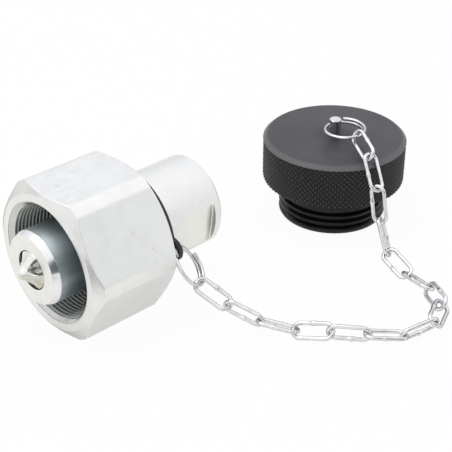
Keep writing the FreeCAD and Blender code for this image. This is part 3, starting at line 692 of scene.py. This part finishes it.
def make_poppet():
    """Bell-nosed poppet with three round grooves that let the fluid past, its sealing head and its stem."""
    angles = full_turn(POPPET_SIDES)
    third = math.tau / 3
    off_groove = (angles - GROOVE_TURN + third / 2) % third - third / 2
    # Each groove gets its painted shade fully on one side, and only a little on the other.
    shade_weight = 0.12 + 0.88 * np.clip((off_groove + 0.12) / 0.25, 0, 1)
    floor, bell = np.array(GROOVE_FLOOR), np.array(NOSE_OUTLINE)
    rings, depths = [], []
    for along in [0.0, 0.03, 0.08, 0.15, 0.25, 0.4, 0.55, 0.75] + list(np.linspace(1.0, 7.3, 50)):
        flare = np.full_like(angles, np.interp(along, bell[:, 0], bell[:, 1]))
        centre = GROOVE + np.interp(along, floor[:, 0], floor[:, 1])
        inside = GROOVE ** 2 - (centre * np.sin(off_groove)) ** 2
        near_wall = centre * np.cos(off_groove) - np.sqrt(np.maximum(inside, 0))
        valley = np.where(inside > 0, near_wall, OUT_OF_REACH)
        rings.append(axial_ring(NOSE + along, np.maximum(soft_min(flare, valley, GROOVE_ROUND), 0.01), angles))
        depths.append(np.clip((flare - valley) / GROOVE_SHADE_DEPTH, 0, 1) * shade_weight)
    stem_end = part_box("valve_poppet")[1][0] / MM
    root = NOSE + NOSE_LENGTH
    behind = rounded([
        (root, RIB_REACH - 0.02, 0), (root, RIB_REACH, 0), (-0.85, POPPET, 0.2), (2.35, POPPET, 0.2),
        (2.35, POPPET_BOSS, 0.2), (4.95, POPPET_BOSS, 0.3), (4.95, STEM, 0.2), (stem_end, STEM, 0.3),
        (stem_end, 0.02, 0),
    ])
    points, faces = loft(rings + axial_rings(behind, angles))
    poppet = new_piece("poppet_dressed", points, faces, [poppet_steel], "poppet", "poppet_steel", sharp=60)
    depths = np.concatenate(depths + [np.zeros(len(behind) * len(angles))])
    poppet.data.attributes.new("groove", "FLOAT", "POINT").data.foreach_set("value", depths)
    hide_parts("valve_poppet")


# Dust plug


def make_cap():
    """Knurled band, turned top and ridged spigot of the dust plug, each with its own finish."""
    angles = full_turn(KNURL_SIDES)
    pitch = math.tau * CAP_RADIUS / KNURL_COUNT
    along = angles * CAP_RADIUS / pitch
    shoulder = CAP_HEIGHT - CAP_EDGE
    knurl = []
    for height in np.linspace(KNURL_FOOT, shoulder, KNURL_ROWS):
        up = height / pitch
        left = 1 - np.abs((along + up) % 1.0 - 0.5) * 2
        right = 1 - np.abs((along - up) % 1.0 - 0.5) * 2
        groove = 1 - np.minimum(left, right)
        fade = max(0.0, min(1.0, (shoulder - height) / KNURL_FADE))
        knurl.append(cap_ring(height, CAP_SKIN - KNURL_DEPTH * fade * groove, angles))
    side = new_piece("cap_knurl_band", *loft(knurl), [cap_knurl], "cap", "cap_metal", sharp=180)

    angles = full_turn(CAP_SIDES)
    top = cap_lathe([
        (2.3, CAP_HEIGHT, 0), (2.6, CAP_HEIGHT, 0), (CAP_SKIN - CAP_EDGE, CAP_HEIGHT, 0.5),
        (CAP_SKIN, shoulder, 0.4), (CAP_SKIN, shoulder - 0.1, 0),
    ], angles)
    lid = new_piece("cap_top_face", *top, [cap_top], "cap", "cap_metal", sharp=60)

    outline = [
        (CAP_RADIUS - 0.6, KNURL_FOOT, 0), (CAP_RADIUS - 1.1, CAP_FOOT, 0.2), (19.6, CAP_FOOT, 0.3),
        (SPIGOT_NECK, 13.0, 0.2),
    ]
    for crest in SPIGOT_RIDGES:
        outline += [
            (SPIGOT_NECK, crest + 1.3, 0.4), (SPIGOT, crest + 0.4, 0.6), (SPIGOT, crest - 0.4, 0.6),
            (SPIGOT_NECK, crest - 1.3, 0.4),
        ]
    outline[-1] = (20.5, 0.0, 0.25)
    ceiling = CAP_HEIGHT - CAP_TOP_THICKNESS
    outline += [(CAP_CAVITY, 0.0, 0.3), (CAP_CAVITY, ceiling, 0.6), (0.01, ceiling, 0)]
    spigot = new_piece("cap_spigot", *cap_lathe(outline, angles), [cap_spigot], "cap", "cap_metal", sharp=60)
    for piece in (side, lid, spigot):
        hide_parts("dust_plug")


# Chain


def link_path():
    """The middle of a link's wire: the way along the link, the way across it, and the turn of the wire's section."""
    straight = LINK_REACH - LINK_BEND
    path = []
    for end, facing in ((-1, 0.0), (1, math.pi)):
        for step in range(SHANK_STEPS + 1):
            path.append((end * straight * (2 * step / SHANK_STEPS - 1), -end * LINK_BEND, facing))
        for step in range(1, BEND_STEPS):
            turn = facing + math.pi * step / BEND_STEPS
            path.append((end * straight - LINK_BEND * math.sin(turn), LINK_BEND * math.cos(turn), turn))
    return path


def make_links():
    """Long links of round wire with the small bead of their butt weld, laid where the solids lie."""
    joints = {joint["name"]: joint for joint in frame["joints"]}
    section = full_turn(WIRE_SIDES)
    path = link_path()
    for number in range(1, 16):
        name = f"chain_link_{number:02d}"
        low, high = (np.array(corner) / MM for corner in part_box(name))
        centre = (low + high) / 2
        hook = joints[f"swing_{number + 1:02d}" if number < 15 else "cap_ring_swing"]
        along = np.array(hook["pos_m"]) / MM - centre
        along /= np.linalg.norm(along)
        width = np.array(hook["axis"], float)
        width -= along * (width @ along)
        width /= np.linalg.norm(width)
        normal = np.cross(along, width)
        welded_side = 1 if number % 3 else -1
        weld = (0.37 * number) % 1.0 * 2 * WELD_SPREAD - WELD_SPREAD
        rings = []
        for reach, across, turn in path:
            bead = 0.0
            if across * welded_side > LINK_BEND - 0.01:
                bead = WELD_HEIGHT * math.exp(-((reach - weld) / WELD_WIDTH) ** 2)
            outward = math.sin(turn) * -along + math.cos(turn) * width
            spot = centre + reach * along + across * width
            radius = LINK_WIRE + bead * (0.8 + 0.2 * np.cos(section + number))[:, None]
            rings.append(spot + radius * (np.cos(section)[:, None] * outward + np.sin(section)[:, None] * normal))
        points, faces = loft(rings, closed=True)
        link = new_piece(f"link_{number:02d}_dressed", points, faces, [chain_zinc], f"link_{number:02d}", "chain_steel")
        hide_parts(name)


# Strap


def make_strap():
    """The rubber strap with its rear face drawn in towards the rim, and less so round the eye of its lug."""
    mesh = frame["nodes"]["lanyard_strap"].data
    points = np.zeros(3 * len(mesh.vertices))
    mesh.vertices.foreach_get("co", points)
    points = points.reshape(-1, 3) / MM
    front = points[:, 0].min()
    eye = next(np.array(joint["pos_m"]) / MM for joint in frame["joints"] if joint["name"] == "ring_swing")
    near_rim = np.clip((np.hypot(points[:, 1], points[:, 2]) - STRAP_RIM_START) / STRAP_RIM_WIDTH, 0, 1)
    from_eye = np.hypot(points[:, 1] - eye[1], points[:, 2] - eye[2])
    off_lug = np.clip((from_eye - STRAP_LUG_RADIUS) / STRAP_LUG_FADE, 0, 1)
    thinning = STRAP_LUG_THINNING + (STRAP_RIM_THINNING - STRAP_LUG_THINNING) * off_lug
    points[:, 0] = front + (points[:, 0] - front) * (1 - near_rim * thinning)
    faces = [tuple(face.vertices) for face in mesh.polygons]
    strap = new_piece("strap_dressed", points, faces, [strap_rubber], "strap", "strap_rubber", sharp=35)
    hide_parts("lanyard_strap")


# Solids that show as they are


def paint(name, material, top=None):
    """Gives a solid its finish, and the faces that look straight up one of their own where top is given."""
    mesh = frame["nodes"][name].data
    mesh.materials.clear()
    mesh.materials.append(material)
    if top:
        mesh.materials.append(top)
    kind = [int(bool(top) and face.normal.z > 0.8) for face in mesh.polygons]
    mesh.polygons.foreach_set("material_index", np.array(kind, np.int32))


# Studio


# Directions of the bright and dim parts of the surroundings, and the place in metres of the dim patch on the table,
# a painted reflection that only mirrors see.
LEFT_WINDOW = (-0.95, 0.3, 0.3)
RIGHT_WINDOW = (0.59, -0.755, 0.283)
DIM_CORNER = (-0.135, -0.96, 0.22)
PATCH_CENTRE = (-0.190, -0.095, -AXIS_HEIGHT * MM)
PATCH_EDGE = (0.125, 0.172)


def make_world():
    """Pale studio all round, white overhead and greyer low down, with a white window on either side of the camera
    and a dim patch between the camera and the right one."""
    world = bpy.data.worlds.new("studio")
    bpy.context.scene.world = world
    world.use_nodes = True
    tree = world.node_tree
    direction = add(tree, "ShaderNodeTexCoord").outputs["Generated"]
    height = add(tree, "ShaderNodeSeparateXYZ", Vector=direction).outputs["Z"]
    sky = ramp(tree, height, [
        (0.0, WHITE), (0.02, WHITE), (0.07, (0.55, 0.56, 0.58)), (0.16, (0.76, 0.77, 0.79)),
        (0.30, (0.90, 0.915, 0.925)), (0.52, (0.96, 0.965, 0.985)), (1.0, WHITE),
    ])

    def towards(vector, low, high):
        """0 far from a direction and 1 near it."""
        return span(tree, compare(tree, "DOT_PRODUCT", direction, Vector(vector).normalized()), 0.0, 1.0, low, high)

    raised = span(tree, height, 0.0, 1.0, 0.08, 0.20)
    sky = blend(tree, calculate(tree, "MULTIPLY", towards(LEFT_WINDOW, 0.55, 0.85), raised), sky, WHITE)
    sky = blend(tree, towards(RIGHT_WINDOW, 0.75, 0.95), sky, WHITE)
    sky = blend(tree, towards(DIM_CORNER, 0.85, 0.94), sky, (0.13, 0.15, 0.16))
    background = tree.nodes["Background"]
    tree.links.new(sky, background.inputs["Color"])
    tree.links.new(span(tree, height, 1.0, 1.12, 0.6, 0.9), background.inputs["Strength"])


def make_lamp(name, spot, aim, size, power):
    data = bpy.data.lights.new(name, "AREA")
    data.shape = "DISK"
    data.size = size
    data.energy = power
    lamp = bpy.data.objects.new(name, data)
    lamp.location = spot
    lamp.rotation_euler = (Vector(aim) - Vector(spot)).to_track_quat("-Z", "Y").to_euler()
    bpy.context.scene.collection.objects.link(lamp)


def make_floor():
    """White table. The camera sees it nearly white, with the soft shadow of the parts kept on it. In the metal it
    shows as a warmer white, with a dim patch in front of the nut's mouth that only mirrors see: a painted reflection."""
    mesh = bpy.data.meshes.new("floor")
    reach, height = 3.0, -AXIS_HEIGHT * MM
    corners = [(-reach, -reach, height), (reach, -reach, height), (reach, reach, height), (-reach, reach, height)]
    mesh.from_pydata(corners, [], [(0, 1, 2, 3)])
    floor = bpy.data.objects.new("floor", mesh)
    bpy.context.scene.collection.objects.link(floor)
    material, tree, shader = new_material("floor", Roughness=0.9, Specular_IOR_Level=0.0)
    soft = noise(tree, solid_place(tree), 8.0)
    paper = ramp(tree, soft, [(0.3, (0.80, 0.80, 0.79)), (0.7, (0.82, 0.82, 0.81))])
    tree.links.new(paper, shader.inputs["Base Color"])

    path = add(tree, "ShaderNodeLightPath").outputs
    mirrored = calculate(tree, "MAXIMUM", path["Is Glossy Ray"], path["Is Transmission Ray"])
    tint = ramp(tree, mirrored, [(0.0, WHITE), (1.0, (1.0, 1.0, 0.965))])
    # Painted reflection: a dim patch on the table that only mirror rays see, darkening the metal where it mirrors it.
    outside_patch = span(tree, compare(tree, "DISTANCE", solid_place(tree), PATCH_CENTRE), 0.0, 1.0, *PATCH_EDGE)
    off_patch = calculate(tree, "MAXIMUM", outside_patch, calculate(tree, "SUBTRACT", 1.0, mirrored))
    tint = shade(tree, tint, ramp(tree, off_patch, [(0.0, (0.24, 0.25, 0.26)), (1.0, WHITE)]))
    white = add(tree, "ShaderNodeEmission", Color=tint, Strength=1.0).outputs["Emission"]
    by_camera = calculate(tree, "MULTIPLY", path["Is Camera Ray"], 0.95)
    seen = calculate(tree, "MAXIMUM", by_camera, calculate(tree, "MULTIPLY", mirrored, 0.6))
    mix = add(tree, "ShaderNodeMixShader", Fac=seen)
    tree.links.new(shader.outputs["BSDF"], mix.inputs[1])
    tree.links.new(white, mix.inputs[2])
    tree.links.new(mix.outputs["Shader"], tree.nodes["Material Output"].inputs["Surface"])
    mesh.materials.append(material)


def make_camera():
    """The photo's camera, as fitted to the parts."""
    data = bpy.data.cameras.new("camera")
    data.sensor_width = 36.0
    data.lens = 95.938
    data.clip_start = 0.01
    camera = bpy.data.objects.new("camera", data)
    camera.location = Vector((-186.4825, -286.5199, 217.5698)) * MM
    right = Vector((0.72983578, -0.68362251, 0.0))
    up = Vector((0.35309, 0.37696, 0.85628))
    camera.rotation_mode = "QUATERNION"
    camera.rotation_quaternion = Matrix((right, up, right.cross(up))).transposed().to_quaternion()
    bpy.context.scene.collection.objects.link(camera)
    bpy.context.scene.camera = camera


make_camera()
make_nut()
make_body()
make_poppet()
make_cap()
make_links()
make_strap()
finishes = {
    "nut_retaining_ring": spring_steel, "poppet_seal": seal_rubber, "valve_spring": spring_steel,
    "spring_guide": body_zinc, "guide_snap_ring": spring_steel,
    "body_split_ring": ring_zinc, "cap_split_ring": chain_zinc,
}
for name, material in finishes.items():
    paint(name, material)
# The stud's top gets the lighter copy and its side the darker one: painted light and shade.
paint("cap_stud", stud_side_shaded, top=stud_top_lit)
make_world()
make_lamp("overhead", (-0.10, 0.20, 0.70), (0.06, -0.03, 0), 0.5, 1.2)
make_floor()
bpy.context.scene.view_settings.view_transform = "Standard"
